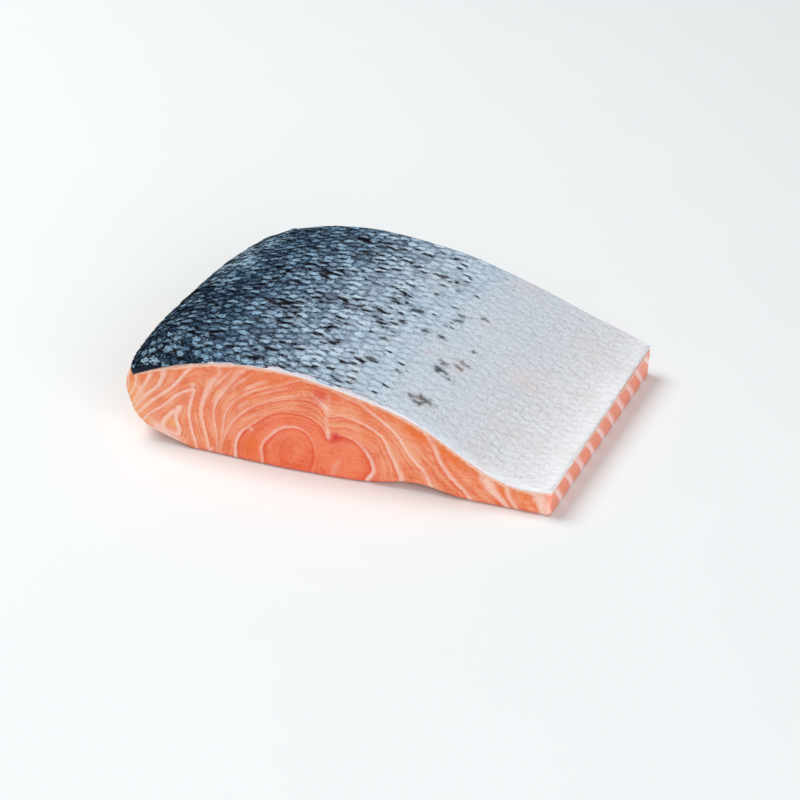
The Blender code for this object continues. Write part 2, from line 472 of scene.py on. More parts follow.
# %% The lines at the tail cut
FAT_LINES = (             # name, number, widths in mm, strengths, gaping, points (x, z)
    ("teardrop", -1, (1, 2, 1.6), (0.8, 0.95), 0,
     ((-54.4, 14.9), (-55.9, 9.5), (-55, 5), (-58.5, 3.9), (-61.5, 6), (-59.5, 10.4), (-55.8, 13.8))),
    ("right leg of the V", 0, (0.9, 1, 1.1), (0.75, 0.8), 0,
     ((-48, -1.5), (-48.9, 2.2), (-50.2, 6), (-51.1, 11), (-50.8, 15.5), (-49.5, 20.3), (-49.1, 22.3))),
    ("left leg of the V", 0, (1.1, 0.9, 0.8), (0.8, 0.65), 0,
     ((-50.2, 22.3), (-54, 20.4), (-58, 17.2), (-62, 13.3), (-66, 10.5), (-69, 6.8))),
    ("back 1", 1, (1, 0.9, 0.8), (0.75, 0.9, 0.7), 0,
     ((-52.2, 28.3), (-55.5, 24), (-59.5, 19.9), (-64.5, 15.8), (-70.8, 9.3))),
    ("back 2", 2, (2.3, 1, 0.8), (0.8, 0.8, 0.6), 0,
     ((-60.5, 27), (-61.5, 23.2), (-64.3, 19.7), (-68, 16.2), (-71.2, 11.8))),
    ("back 3", 3, (1.2, 0.9, 0.8), (0.8, 0.7, 0.5), 0,
     ((-65.3, 25.5), (-66.8, 22), (-69, 18.8), (-72.3, 12.8))),
    ("back 4", 4, (0.9, 0.8, 0.7), (0.8, 0.6), 0, ((-70.6, 24.8), (-70.8, 21.5), (-72, 18), (-73.6, 15.5))),
    ("back 5", 5, (0.9, 0.7, 0.6), (0.6, 0.5), 0, ((-73.7, 24), (-73.7, 20), (-74.2, 17.5))),
    ("upright 1", 1, (0.8, 0.8, 1.2, 2.2, 2), (0.75, 0.75, 0.7, 0.45), 0,
     ((-43.6, -1.5), (-44.3, 2), (-45.7, 8), (-46.7, 14.5), (-45.3, 20), (-42.8, 25.5), (-39.5, 29.8))),
    ("upright 2", 2, (0.5, 0.7, 0.8, 1.5, 2), (0.5, 0.65, 0.55, 0.4), 0,
     ((-41, -1.5), (-41.1, 1.5), (-41.8, 9), (-42.3, 13.5), (-41, 19.3), (-37.8, 24.3), (-33.5, 30))),
    ("fan 3", 3, (0.4, 0.7, 0.7, 0.8, 1.2), (0.35, 0.6, 0.45, 0.3, 0.15), 0,
     ((-40.6, 1.5), (-39.1, 9.5), (-37.7, 16), (-33, 22.2), (-26, 26.5), (-18, 29.3))),
    ("fan 4", 4, (0.4, 0.8, 0.5, 0.3, 0.3), (0.3, 0.55, 0.3, 0.1, 0.25), 0.4,
     ((-40.3, 2.2), (-36, 12), (-28.6, 19.3), (-18.5, 24), (-9.5, 25.8), (-4, 24.5), (-1.8, 21.5))),
    ("outer loin ring", 5, (1.3, 0.8, 0.4, 0.3, 0.5), (0.95, 0.7, 0.1, 0, 0.35), 0.9,
     ((-33.8, -1.5), (-34, 0.9), (-34.5, 4), (-31.9, 10), (-27.5, 14), (-22, 18), (-11, 20.1),
      (-3.8, 17), (-1.6, 13))),
    ("inner loin ring", 6, (0.6, 0.9, 0.9, 0.6, 0.4), (0.5, 0.6, 0.7, 0.35, 0), 0.5,
     ((-24, -1.5), (-24.3, 1.3), (-25, 5.8), (-22, 10.3), (-18.5, 13.4), (-12, 14.9), (-8, 12.5),
      (-6.4, 8.5), (-6, 5))),
    ("belly lobe", 5, (0.5, 0.5, 0.9, 1.3, 1.2), (0.6, 0.3, 0.6, 0.9, 0.9), 0.9,
     ((-1.2, 12.8), (1.5, 14.5), (6, 14.9), (10.5, 12.2), (13.7, 7.5), (14.2, 4), (12.6, 1.8))),
    ("belly 4", 4, (0.7, 1, 1, 1.2, 2), (0.3, 0.6, 0.7, 0.9), 0.4,
     ((4, 22.8), (8, 21.8), (14, 19.6), (17.3, 17.3), (20.3, 11.7), (22.7, 6.8), (23.8, 3.4), (24.2, 0))),
    ("belly 3", 3, (1.3, 1.1, 1.1, 1.1), (0.5, 0.8, 0.9), 0,
     ((10.5, 28), (16.5, 24), (22.3, 19.3), (27.5, 12.2), (32.2, 7), (34.2, 3.3), (35.6, -0.5))),
    ("belly 2", 2, (2.6, 1.2, 1.05, 1.05), (0.5, 0.8, 0.9), 0,
     ((32, 23.5), (33.4, 21), (36.3, 15.5), (39.5, 9.5), (43.6, 5.5), (47.5, 1.3), (49, -1))),
    ("belly 1", 1, (5.5, 4.2, 2.2, 1.3), (0.95, 0.95), 0,
     ((52.7, 12.5), (52.9, 9), (55, 5.5), (59.5, 1.5), (61, -0.5))),
    ("belly 0", 0, (1.8, 1.6, 1.4), (0.6, 0.8), 0, ((60.4, 11), (60.8, 5), (63.5, 0.8), (64.5, -1))),
    ("corner", -1, (5.8, 4.4, 2.8), (1, 1), 0, ((69.6, 11), (71.2, 5), (72.7, 1.3), (73.2, -1))),
)
QUIET_PLACES = (          # between the lines, to keep the field off other whole numbers: (number, x, z)
    (-1.45, -57.4, 8.5), (-0.62, -53.5, 3), (-0.5, -63, 8.5), (-0.55, -66, 5.5),
    (1.5, -60, -3), (4.4, -37.3, 4.5), (4.5, -36.6, 7), (4.6, -35, 11), (4.4, -38.6, 2.5),
    (4.5, -37, 0), (5.4, -29.5, 1), (5.45, -29.5, 6), (6.5, -15, 6.5), (6.55, -15, 3),
    (6.4, -15, 10), (6.3, -20, 4), (6.3, -10, 4), (5.7, -4, 4), (5.6, -3.2, 9),
    (5.5, 4, 9), (5.55, 5, 4), (5.5, 9, 7), (5.6, 0.5, 5), (4.5, 18.5, 3),
    (3.55, -4, 28.5), (3.5, 1, 26), (3.1, 5, 28.5), (2.5, 25, 24), (2.7, 20, 26.5),
    (5.5, -78, 20), (5.5, -78, 30), (-1.05, 76, 0.5), (-1.95, 76, 10),
)
SAMPLE_STEP = 1.5         # millimetres between the points taken along a line


def line_samples():
    """Return the place, number, width, strength and gaping at points along all the fat lines."""
    rows = []
    for _, number, widths, strengths, gaping, points in FAT_LINES:
        length = np.linalg.norm(np.diff(points, axis=0), axis=1).sum()
        run = np.linspace(0.0, 1.0, max(3, int(length / SAMPLE_STEP) + 1))
        spans = [np.interp(run, np.linspace(0.0, 1.0, len(ends)), ends) for ends in (widths, strengths)]
        level, gapes = np.full((2, len(run)), ((number,), (gaping,)))
        rows.append(np.column_stack((smooth_curve(points, len(run)), level, *spans, gapes)))
    return np.concatenate(rows)


samples = line_samples()
print(len(FAT_LINES), "fat lines,", len(samples), "samples")

# %% [markdown]
# The field is a sum of cones, one over each sample, plus a sloping plane, and is the smoothest one
# that meets its number at every sample. The cones' heights come from one set of linear equations.
# Its slope turns a line's width from millimetres into numbers.

# %% The field through the lines
CONE_TIP = 1.2            # rounds the tip of each cone, in millimetres
SLACK = 0.05              # lets the field miss a sample slightly, for a calmer surface
PLANE_UNIT = 50.0
NEAREST_SOFT = 0.3        # millimetres over which the nearest samples are blended
CHUNK = 4000


def solve_field():
    """Return the cones' centres, their heights and the plane."""
    quiet = np.array(QUIET_PLACES)
    centres = np.vstack((samples[:, :2], quiet[:, 1:]))
    numbers = np.concatenate((samples[:, 2], quiet[:, 0], np.zeros(3)))
    count = len(centres)
    apart = np.linalg.norm(centres[:, None] - centres[None], axis=2)
    cones = np.sqrt(apart ** 2 + CONE_TIP ** 2) - SLACK * np.eye(count)
    plane = np.column_stack((np.ones(count), centres / PLANE_UNIT))
    solved = np.linalg.solve(np.block([[cones, plane], [plane.T, np.zeros((3, 3))]]), numbers)
    return centres, solved[:count], solved[count:]


centres, heights, plane = solve_field()


def field_at(points):
    """Return the field, its slope, and the nearest lines' width, strength and gaping, at each (x, z)."""
    offset = points[:, None] - centres[None]
    cone = np.sqrt((offset ** 2).sum(axis=2) + CONE_TIP ** 2)
    value = cone @ heights + plane[0] + (points / PLANE_UNIT) @ plane[1:]
    gradient = ((heights / cone)[:, :, None] * offset).sum(axis=1) + plane[1:] / PLANE_UNIT
    weight = (np.linalg.norm(offset[:, :len(samples)], axis=2) + NEAREST_SOFT) ** -3
    nearest = weight @ samples[:, 3:] / weight.sum(axis=1)[:, None]
    return np.column_stack((value, np.linalg.norm(gradient, axis=1), nearest))


print("field solved from", len(centres), "places")

# %% [markdown]
# ## The flesh
# The block of muscle is a fine grid over all six sides of a bent box: it runs across the fish,
# upwards, and along the fish. A grid this regular lets every side follow the same cross-sections as
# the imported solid. Its rows stand closer at the cuts, whose lower edges a knife leaves slightly round.

# %% A grid of points as a mesh
SHARP_ANGLE = 50.0


def mesh_object(name, points, faces):
    """Make an object from points in millimetres and equal-sized faces."""
    data = bpy.data.meshes.new(name)
    data.vertices.add(len(points))
    data.vertices.foreach_set("co", (points * MM).astype(np.float32).ravel())
    data.loops.add(faces.size)
    data.loops.foreach_set("vertex_index", faces.astype(np.int32).ravel())
    data.polygons.add(len(faces))
    data.polygons.foreach_set("loop_start", np.arange(0, faces.size, faces.shape[1], dtype=np.int32))
    data.update(calc_edges=True)
    data.shade_smooth()
    data.set_sharp_from_angle(angle=math.radians(SHARP_ANGLE))
    return new_object(name, data)


def box_mesh(name, grid):
    """Make a closed box from points indexed [across][up][along]; return it and which points it has."""
    on_side = np.ones(grid.shape[:3], bool)
    on_side[1:-1, 1:-1, 1:-1] = False
    ids = np.full(on_side.shape, -1)
    ids[on_side] = np.arange(on_side.sum())
    quads = []
    for axis in range(3):
        turned = np.moveaxis(ids, (axis, (axis + 1) % 3, (axis + 2) % 3), (0, 1, 2))
        for end in (0, -1):
            face = turned[end]
            loop = [face[:-1, :-1], face[1:, :-1], face[1:, 1:], face[:-1, 1:]]
            quads.append(np.stack(loop if end else loop[::-1], axis=-1).reshape(-1, 4))
    return mesh_object(name, grid[on_side], np.concatenate(quads)), on_side


def write_attribute(piece, name, values):
    """Store numbers, vectors or four-part colours on a piece's points."""
    values = np.asarray(values, np.float32)
    kinds = {1: ("FLOAT", "value"), 3: ("FLOAT_VECTOR", "vector"), 4: ("FLOAT_COLOR", "color")}
    kind, field_name = kinds[values.size // len(values)]
    piece.data.attributes.new(name, kind, "POINT").data.foreach_set(field_name, values.ravel())


print("mesh helpers ready")

# %% The flesh's grid
FLESH_ACROSS = 280
FLESH_UP = 72
FLESH_ALONG = 76
CUT_GRADING = 0.86        # how much closer the rows stand at the two cuts
EDGE_ROUND = 1.3          # radius of the cut faces' lower and side edges, in millimetres


def stations(count, grading):
    """Return fractions along the fish, closer together at both ends."""
    even = np.linspace(0.0, 1.0, count + 1)
    return even - grading * np.sin(2.0 * np.pi * even) / (2.0 * np.pi)


def edge_drop(section):
    """Return how far each point of a cut face falls back, in mm, to round its free edges."""
    closeness = np.zeros(section.shape[:2])
    for edge in (section[:, :1], section[:1], section[-1:]):
        apart = np.linalg.norm(section - edge, axis=2)
        closeness += np.clip(1.0 - apart / EDGE_ROUND, 0.0, 1.0) ** 2
    return EDGE_ROUND * (1.0 - np.sqrt(1.0 - np.clip(closeness, 0.0, 1.0)))


def flesh_grid():
    """Return the flesh's points [across][up][along], and each point's (x, z) in its section."""
    layers = []
    sections = []
    for along in stations(FLESH_ALONG, CUT_GRADING):
        sections.append(flesh_section(along, FLESH_ACROSS, FLESH_UP))
        layers.append(placed(sections[-1], along))
        layers[-1][..., 1] += edge_drop(sections[-1]) * (1.0 - 2.0 * along)
    return np.stack(layers, axis=2), np.stack(sections, axis=2)


grid, sections = flesh_grid()
flesh, on_side = box_mesh("salmon_flesh", grid)
flesh_points, flesh_at = grid[on_side], sections[on_side]
print("flesh:", len(flesh.data.polygons), "faces")

# %% [markdown]
# Each point of the flesh now gets its place in the pile of flakes. Along the fish the number falls
# by one for every sheet passed, which is what slants the stripes on the belly edge. The tints are
# the things that only the tail cut shows: paler and deeper spots, and a trace of blood at the seam.

# %% Flake numbers, widths and gaping
FLAKE_STEP = 11.0         # millimetres along the fish from one fat sheet to the next
EDGE_STRIPE = 2.9         # width of a fat stripe on the belly edge
LOIN_NUMBER = 4.3         # the loin's muscle starts at this flake of the tail cut
BELLY_EDGE = 73.6         # the belly edge starts at this x of the section

behind_cut = np.maximum(flesh_points[:, 1] + 0.5 * LENGTH, 0.0)
field = np.concatenate([field_at(flesh_at[k:k + CHUNK]) for k in range(0, len(flesh_at), CHUNK)])
number, slope, width, strength, gaping = field.T
in_loin = fade((number - LOIN_NUMBER) / 1.2)
number = number - behind_cut / FLAKE_STEP
half_width = 0.5 * width * slope
on_edge = fade((flesh_at[:, 0] - BELLY_EDGE) / 1.2) * fade(behind_cut / 2.0)
half_width += (0.5 * EDGE_STRIPE / FLAKE_STEP - half_width) * on_edge
write_attribute(flesh, "flake", np.column_stack((number, half_width, gaping)))
print("flake numbers from", round(number.min(), 1), "to", round(number.max(), 1))

# %% Tints at the tail cut
PALE, DEEP, BLOOD, GOLD = range(4)
TOUCHES = {               # for each kind: strength, reach in mm, points (x, z)
    PALE: (
        (0.6, 0.8, ((-50, 21), (-49.6, 25))), (0.4, 1.2, ((-56.8, 22), (-55, 24.4))),
        (0.6, 0.5, ((-30.3, 12.2), (-28, 10.8))), (0.35, 0.6, ((-34, 18), (-31.8, 20), (-29, 22.5))),
        (0.25, 0.5, ((-34, 13.8), (-29, 16), (-23, 18.8))),
        (0.5, 0.7, ((-41.5, 25), (-39, 28), (-35.5, 31.6))),
        (0.5, 0.5, ((-36.5, 24), (-33.5, 27.5), (-29, 31.2))),
        (0.45, 0.5, ((-31.5, 25.5), (-27, 28.5), (-22, 30.8))),
        (0.4, 0.45, ((-28, 23.8), (-21, 27), (-14, 29.6))),
        (0.3, 0.4, ((-26, 21.6), (-18, 25.4), (-9, 27.6))),
        (0.7, 0.4, ((-8, 29.2), (-5.5, 27.5), (-3.8, 26.2))),
        (0.95, 0.75, ((-4.8, 27), (-2.6, 25.4), (-0.8, 23.6))),
        (0.3, 0.5, ((-0.8, 31), (-0.8, 27), (-1.1, 23.5))),
        (0.35, 0.5, ((-1.2, 24.8), (-2, 21), (-1.6, 15))),
        (0.9, 0.6, ((-1.6, 17), (-1.5, 15), (-1.4, 12.4))), (0.3, 0.9, ((0, 0), (1.2, 3.5), (2.8, 6.8))),
        (0.4, 1.8, ((33, 22.4), (37, 19.8))),
        (0.9, 2.1, ((-65.5, 8), (-62.5, 4.6), (-58, 2.4), (-53.6, 2.6))),
        (0.5, 1.2, ((-70.5, 22), (-68, 16), (-72, 12))), (0.95, 2.1, ((71, 9.5), (72.5, 4))),
        (0.6, 1.6, ((53.6, 12), (54.4, 8))), (0.9, 0.8, ((-55.4, 12), (-54.8, 13.8), (-53.9, 16))),
    ),
    DEEP: (
        (0.6, 2.2, ((10, 18.2), (16, 16.6))), (0.9, 2, ((58.6, 9.5), (58.9, 4.5))),
        (1, 3, ((20, 27), (36, 18.6), (50, 11))), (0.7, 1.3, ((-72.2, 24.5), (-72.4, 21))),
        (0.8, 2.6, ((-28.5, 9.5), (-29, 5), (-28, 1.5))), (0.85, 2.1, ((66.4, 10.5), (67.5, 3.5))),
        (0.65, 1.8, ((-47, 28.5), (-30, 30.6), (-12, 30.2))),
        (0.5, 1.2, ((-38, 26), (-28, 29), (-16, 29.5))), (0.4, 1, ((-34, 20), (-26, 25), (-14, 27.5))),
    ),
    BLOOD: (
        (0.6, 3, ((-6.4, 29.6), (-4.2, 29), (-1.6, 28))), (1, 1.5, ((-0.4, 13.7), (2.6, 15.1))),
        (0.8, 0.6, ((-2, 12.6), (4.4, 15.2))),
    ),
    GOLD: (
        (1, 1.5, ((-57.8, 6.5), (-57.2, 10))),
    ),
}
TOUCH_DEPTH = 5.0         # how far behind the cut a tint reaches
BACK_GOLD = (-64.0, 12.0)  # the muscle turns golden past this x, over this many millimetres


def reach_of(points, stroke, reach):
    """Return 1 along a stroke, falling softly to 0 to its sides and towards its two ends."""
    best = np.zeros(len(points))
    for k, (start, end) in enumerate(zip(stroke, stroke[1:])):
        run = np.subtract(end, start)
        share = np.clip((points - start) @ run / (run @ run), 0.0, 1.0)
        nearest = np.linalg.norm(points - start - share[:, None] * run, axis=1)
        along = (k + share) / (len(stroke) - 1)
        taper = np.clip(np.minimum(along, 1.0 - along) * 5.0, 0.35, 1.0)
        best = np.maximum(best, taper * np.exp(-(nearest / (reach * (0.4 + 0.6 * taper))) ** 2))
    return best


def touch_up():
    """Return the four tints at each point of the flesh."""
    tints = np.zeros((4, len(flesh_at)))
    tints[GOLD] = fade((BACK_GOLD[0] - flesh_at[:, 0]) / BACK_GOLD[1])
    near = np.exp(-(behind_cut / TOUCH_DEPTH) ** 2)
    for kind, touches in TOUCHES.items():
        for amount, reach, stroke in touches:
            tints[kind] = np.maximum(tints[kind], amount * reach_of(flesh_at, stroke, reach) * near)
    return tints.T


write_attribute(flesh, "tint", touch_up())
print(sum(map(len, TOUCHES.values())), "tints")

# %% [markdown]
# A band of fat lies between muscle and skin, so the distance under the skin is stored too. Then the
# surface is given its relief: each flake stands slightly proud between two fat sheets, a flake that
# gapes leaves a fine groove, and the whole face waves a little.

# %% Depth under the skin, and relief
FLAKE_BULGE = 0.09
GAPE_DEPTH = 0.08
GAPE_WIDTH = 0.35
SURFACE_WAVES = ((14.0, 0.28), (4.5, 0.09), (1.6, 0.03))


def depth_under_skin():
    """Return the distance under the flesh's top at each point, in millimetres."""
    run = np.gradient(sections[:, -1], axis=0)
    level = np.abs(run[..., 0]) / np.linalg.norm(run, axis=-1)
    depth = np.linalg.norm(sections - sections[:, -1:], axis=-1)
    return (depth * np.clip(level, 0.35, 1.0)[:, None])[on_side]


def relief():
    """Return how far each point of the flesh moves out of its surface."""
    part = number - np.floor(number)
    total = FLAKE_BULGE * (4.0 * part * (1.0 - part) - 0.5)
    inside = (number - np.round(number)) / np.maximum(slope, 0.03)
    total -= GAPE_DEPTH * gaping * np.exp(-((inside - 0.5) / GAPE_WIDTH) ** 2)
    total += uneven(flesh_points, SURFACE_WAVES, 0)
    return total * fade(depth / 1.5) * fade(flesh_points[:, 2] + 0.15)


def push_out(piece, points, distances):
    """Move a piece's points out of its surface by these distances, in millimetres."""
    normals = np.zeros(points.size, np.float32)
    piece.data.vertex_normals.foreach_get("vector", normals)
    moved = points + normals.reshape(-1, 3) * distances[:, None]
    piece.data.vertices.foreach_set("co", (moved * MM).astype(np.float32).ravel())
    piece.data.update()


depth = depth_under_skin()
write_attribute(flesh, "look", np.column_stack((strength, in_loin, depth)))
moved = relief()
push_out(flesh, flesh_points, moved)
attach(flesh, "root")
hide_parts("flesh")
print("relief from", round(moved.min(), 2), "to", round(moved.max(), 2), "mm")

# %% [markdown]
# ## A wet film
# Both the cut muscle and the skin are wet. Water levels out the finest roughness but breaks into
# small swells, so its gloss comes and goes. One node group makes this for both: a normal with fine
# grain under it, and a value that spreads the gloss.

# %% Node group: wet film
def make_wet_film():
    """Make the group that gives a wet surface its normal and its uneven gloss."""
    group, (place, height, grain, swell) = new_group(
        "wet film", Place="Vector", Height="Float", Grain="Float", Swell="Float")
    height = height + place.noise(0.45, 3.0) * grain + place.noise(2.6, 1.0) * swell
    normal = put(group, "Bump", {"Height": height, "Distance": MM})
    return give(group, Normal=normal, Gloss=place.noise(5.0, 3.0))


wet_film = make_wet_film()
print("wet film group:", len(wet_film.nodes), "nodes")

# %% [markdown]
# ## The muscle's finish
# Raw salmon is a clear orange that is deepest just inside each fat sheet and pales towards the next.
# The material works that out from the flake number: its fraction gives the flake's shading, and its
# distance from a whole number gives the fat line. Light passes a few millimetres into the flesh,
# so it has some subsurface scattering, which also softens the lines as in the real thing.

# %% Muscle colours
FLAKE_STOPS = (0.0, 0.36, 0.97)
OUTER_FLAKE = (paint(224, 92, 36), paint(233, 129, 80), paint(238, 165, 127))
LOIN_FLAKE = (paint(226, 86, 38), paint(236, 125, 83), paint(238, 132, 92))
FAT = paint(244, 207, 192)
# Painted shade for the grooves where flakes gape: a deeper orange-red.
GROOVE_SHADE = paint(224, 74, 32)
SKIN_FAT = paint(237, 200, 180)
BROWN_FAT = paint(212, 132, 84)
DEEP_ORANGE = paint(230, 106, 24)
BLOOD_RED = paint(214, 34, 34)
GOLDEN = paint(243, 170, 104)
BELLY_MUSCLE = paint(250, 144, 115)
BELLY_FAT = paint(255, 222, 219)
# Painted contact shade along the bottom of the flesh, where it meets the floor.
FOOT_SHADE_ORANGE = paint(222, 80, 40)


def make_flake_look():
    """Make the group that turns a flake number into the flake's own colour."""
    group, (place, number, loin) = new_group("flake colour", Place="Vector", Number="Float", Loin="Float")
    part = number.fraction()
    colour = loin.mix(part.ramp(FLAKE_STOPS, OUTER_FLAKE), part.ramp(FLAKE_STOPS, LOIN_FLAKE))
    deep, pale = (loin.mix(OUTER_FLAKE[k], LOIN_FLAKE[k]) for k in (0, 2))
    layered = []
    for stretch, step, size, rough in ((0.1, 7.0, 1.0, 0.6), (0.9, 12.0, 0.75, 0.7)):
        layer = put(group, "CombineXYZ", {0: number * step})
        at = put(group, "VectorMath", {0: place.scaled(stretch, stretch, stretch), 1: layer})
        layered.append(at.noise(size, 3.0, rough))
    streak, fibre = layered
    cloud = place.noise(7.0)
    for value, width, paler, deeper in (
            (streak, 0.12, 0.85, 0.75), (cloud, 0.16, 0.5, 0.5), (fibre, 0.12, 0.45, 0.45),
            (place.noise(0.4, 2.0, 0.7), 0.16, 0.5, 0.4)):
        colour = (value.ease(0.5, 0.5 + width) * paler).mix(colour, pale)
        colour = (value.ease(0.5, 0.5 - width) * deeper).mix(colour, deep)
    sheet = abs((number * 4.0 + streak).fraction() - 0.5)
    shown = sheet.ease(0.16, 0.02) * cloud.ease(0.4, 0.58) * loin.spread(0.7, 0.3)
    return give(group, Color=shown.mix(colour, pale))


flake_look = make_flake_look()
print("flake colour group:", len(flake_look.nodes), "nodes")

# %% Muscle material
def muscle_material():
    """Make the finish of the cut muscle."""
    material, tree, shader = new_material("salmon muscle")
    place = in_millimetres(tree)
    number, half, gaping = stored(tree, "flake").parts()
    strength, loin, depth = stored(tree, "look").parts()
    pale, deep, blood = stored(tree, "tint").parts()
    number = number + place.noise(2.2).spread(-0.04, 0.04)
    patchy = place.noise(1.6, 3.0)
    belly = place.parts()[0].ease(74.4, 75.4)

    signed = number - number.maths("ROUND")
    # Where a flake gapes, just past its fat line, the relief has a shallow real groove; the finish paints
    # it a deeper orange-red as the groove's shade.
    groove = signed.ease(0.0, 0.03) * signed.ease(0.17, 0.05) * gaping
    half = half * patchy.spread(0.6, 1.5)
    off = abs(abs(signed) * 0.35 + signed)
    line = off.ease(half * 1.4 + 0.02, half * 0.15) * strength
    line = line * place.noise(2.6, 5.0, 0.75).spread(0.0, 1.65)
    line = line.larger(pale * patchy.spread(0.5, 1.3))
    layer = depth + number.fraction().spread(-0.35, 0.35) + patchy.spread(-0.9, 0.9)

    colour = use(flake_look, Place=place, Number=number, Loin=loin)["Color"]
    for share, shade in (
            (stored(tree, "tint", "Alpha") * 0.75, GOLDEN),
            ((depth.ease(6.5, 1.8) * 0.3).larger(deep) * patchy.spread(0.4, 1.4), DEEP_ORANGE),
            # Painted contact shade: deeper orange in the lowest 1.7 mm, where the flesh meets the floor.
            (place.parts()[2].ease(1.7, 0.3) * 0.6, FOOT_SHADE_ORANGE),
            (groove, GROOVE_SHADE),
            (belly * 0.7, BELLY_MUSCLE),
            (line, belly.mix(FAT, BELLY_FAT)),
            (blood, BLOOD_RED),
            (layer.ease(0.8, 1.1) * layer.ease(1.9, 1.2) * belly.spread(0.42, 0.0), BROWN_FAT),
            (layer.ease(1.05, 0.4) * patchy.spread(0.3, 1.1), SKIN_FAT)):
        colour = share.mix(colour, shade)

    height = line * -0.02 + groove * -0.05 + place.noise(0.55, 2.0, 0.7) * 0.07
    film = use(wet_film, Place=place, Height=height, Grain=0.05, Swell=0.1)
    finish(shader, {
        "Base Color": colour, "Normal": film["Normal"], "Roughness": film["Gloss"].spread(0.3, 0.52),
        "Coat Weight": film["Gloss"].spread(0.3, 0.05), "Coat Roughness": 0.25,
        "Subsurface Weight": 0.2, "Subsurface Radius": (1.0, 0.35, 0.2), "Subsurface Scale": 1.4 * MM})
    return material


flesh.data.materials.append(muscle_material())
print("muscle finished")

# %% [markdown]
# ## The skin
# The skin is a tough sheet about a millimetre thick with its scales. It lies over the crown and laps
# down over the back. For everything on it, a map of its outer face is kept: a fine grid of points
# from the back edge to the belly edge and from tail to head, which gives the place and the direction
# out of the skin for any pair of distances in millimetres.

# %% A map of the skin
MAP_ACROSS = 420
MAP_ALONG = 214


def make_skin_map():
    """Return the skin's outer points and normals, indexed [from the back][along], in millimetres."""
    rows = [placed(crown(along, MAP_ACROSS + 1), along)[::-1]
            for along in np.linspace(0.0, 1.0, MAP_ALONG + 1)]
    points = np.stack(rows, axis=1)
    normals = np.cross(np.gradient(points, axis=0), np.gradient(points, axis=1))
    return points, normals / np.linalg.norm(normals, axis=2)[..., None]


skin_points, skin_normals = make_skin_map()
SKIN_WIDTH = float(np.linalg.norm(np.diff(skin_points, axis=0), axis=2).sum(axis=0).mean())


def on_skin(across, along, height):
    """Return places on the skin for distances from the back edge and the tail cut, and a height."""
    i = np.clip(across / SKIN_WIDTH, 0.0, 1.0) * MAP_ACROSS
    j = np.clip(along / LENGTH, 0.0, 1.0) * MAP_ALONG
    i0 = np.minimum(i.astype(int), MAP_ACROSS - 1)
    j0 = np.minimum(j.astype(int), MAP_ALONG - 1)
    di, dj = (i - i0)[:, None], (j - j0)[:, None]
    place, normal = (
        (kept[i0, j0] * (1 - di) + kept[i0 + 1, j0] * di) * (1 - dj)
        + (kept[i0, j0 + 1] * (1 - di) + kept[i0 + 1, j0 + 1] * di) * dj
        for kept in (skin_points, skin_normals))
    return place + normal * height[:, None]


print("skin", round(SKIN_WIDTH, 1), "mm from back to belly over its curve")

# %% [markdown]
# ## The sheet under the scales
# The sheet itself is a thin box of grid points between two heights under the map. It shows between
# the scales and along its cut edge, which is pale. A ridge along the back and slow waves keep it
# from looking stretched, and beside the tail cut a narrow ragged strip has lost its scales.

# %% The skin sheet
SHEET_ACROSS = 250
SHEET_ALONG = 120
SHEET_GRADING = 0.7
SHEET_TOP = -0.28         # the sheet's top and bottom, below the top of the scales
SHEET_BOTTOM = -1.2
EDGE_SAG = (0.45, 0.6)    # how far the cut edge rounds down, and over what length
RIDGE = (21.5, 1.2, 0.5)  # distance from the back edge, half width, height
RIDGE_END = 36.0          # the ridge runs from this distance behind the tail cut to the head cut
RIDGE_WAVES = ((18.0, 0.8),)
SKIN_WAVES = ((16.0, 0.16), (6.0, 0.06))
BORDER_WAVES = ((7.0, 0.08), (2.0, 0.04))
STRIP_WAVES = ((4.5, 0.45), (1.7, 0.25))   # here the heights are shares of the strip's width
BARE_STRIP = (            # distance from the back edge, and width without scales at the tail cut
    (0, 1.9), (9, 1.2), (16, 0.3), (45, 0.15), (72, 1.1), (98, 0.9), (114, 0.1), (165, 0))


def spots(across, along=0.0):
    """Return places for the random field from distances on the skin."""
    return np.column_stack((across, across * 0.0 + along, across * 0.0))


def bare_strip(across):
    """Return how far from the tail cut the skin has lost its scales, with a ragged border."""
    return np.interp(across, *zip(*BARE_STRIP)) * (1.0 + uneven(spots(across), STRIP_WAVES, 34))


def belly_border(along):
    """Return how far from the back edge the skin ends at the belly, which is cut a little unevenly."""
    return SKIN_WIDTH - 0.12 + uneven(spots(along), BORDER_WAVES, 36)


def skin_relief(across, along):
    """Return how far the skin stands out of its map, with its ridge, its waves and its rounded edge."""
    middle, half, height = RIDGE
    away = across - middle - uneven(spots(along), RIDGE_WAVES, 31)
    ridge = height * np.exp(-(away / half) ** 2) * fade((along - RIDGE_END) / 30.0)
    sag, reach = EDGE_SAG
    return ridge + uneven(spots(across, along), SKIN_WAVES, 32) - sag * np.exp(-along / reach)


def make_skin_sheet():
    """Make the sheet that carries the scales."""
    across, along = np.meshgrid(np.linspace(SKIN_WIDTH, 0.0, SHEET_ACROSS + 1),
                                stations(SHEET_ALONG, SHEET_GRADING) * LENGTH, indexing="ij")
    shape = along.shape
    along = along.ravel()
    across = np.minimum(across.ravel(), belly_border(along))
    lift = skin_relief(across, along)
    layers = [on_skin(across, along, height).reshape(*shape, 3)
              for height in (SHEET_BOTTOM + lift * 0.0, SHEET_TOP + lift)]
    sheet, _ = box_mesh("salmon_skin_sheet", np.stack(layers, axis=1))
    bare = fade((bare_strip(across) + 1.3 - along) / 0.8)
    kept = np.column_stack((spots(across, along), bare)).reshape(*shape, 4)
    kept = np.stack((kept, kept), axis=1).reshape(-1, 4)
    write_attribute(sheet, "skin_at", kept[:, :3])
    write_attribute(sheet, "bare", kept[:, 3])
    return sheet


